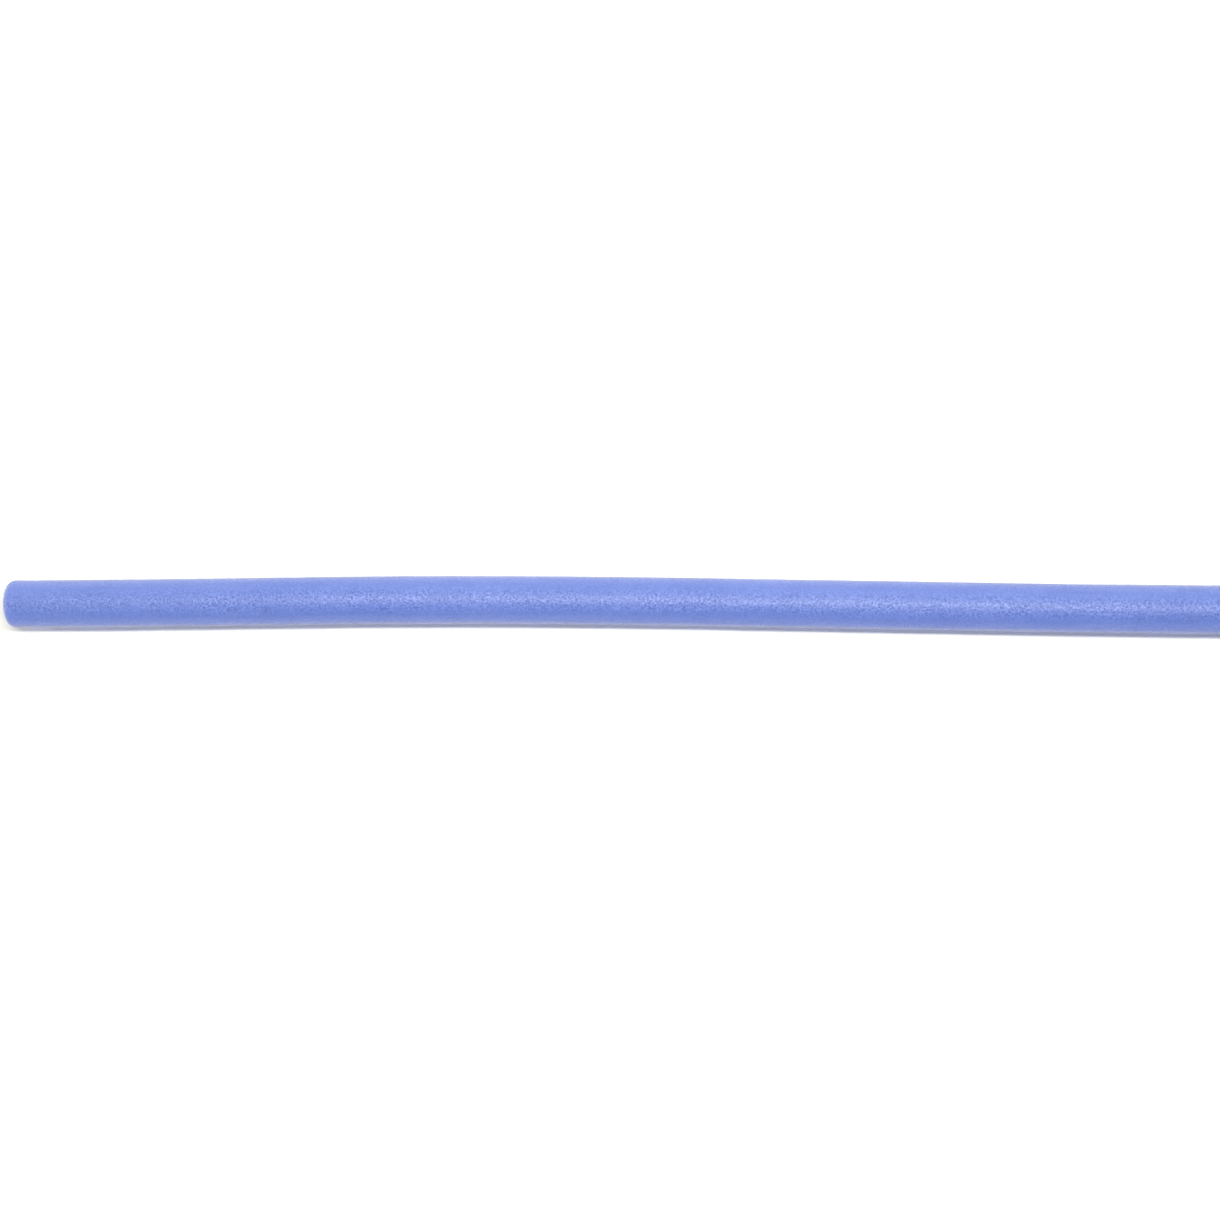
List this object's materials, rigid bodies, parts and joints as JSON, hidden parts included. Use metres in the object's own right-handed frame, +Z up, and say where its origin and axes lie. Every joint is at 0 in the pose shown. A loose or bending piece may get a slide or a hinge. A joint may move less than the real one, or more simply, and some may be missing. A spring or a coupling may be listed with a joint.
{
  "type": "pool noodle",
  "caption": "Long soft foam swimming float: a round, slightly bowed tube with rounded ends and a bore right through it.",
  "frame": {"origin": "bottom centre of the noodle's box, on the surface that it lies on, midway between its two ends", "axes": "+X along the noodle towards its right end, +Z up off the surface, and the slight bow lies sideways in the plane of X and Y, bulging towards +Y left of the middle"},
  "size_m": [1.5999, 0.0726, 0.06],
  "materials": {
    "foam": "soft closed-cell foam with a thin skin, satin, with fine cells that sparkle in the highlight"
  },
  "bodies": {
    "root": {"foam_tube": "foam"}
  },
  "joints": []
}
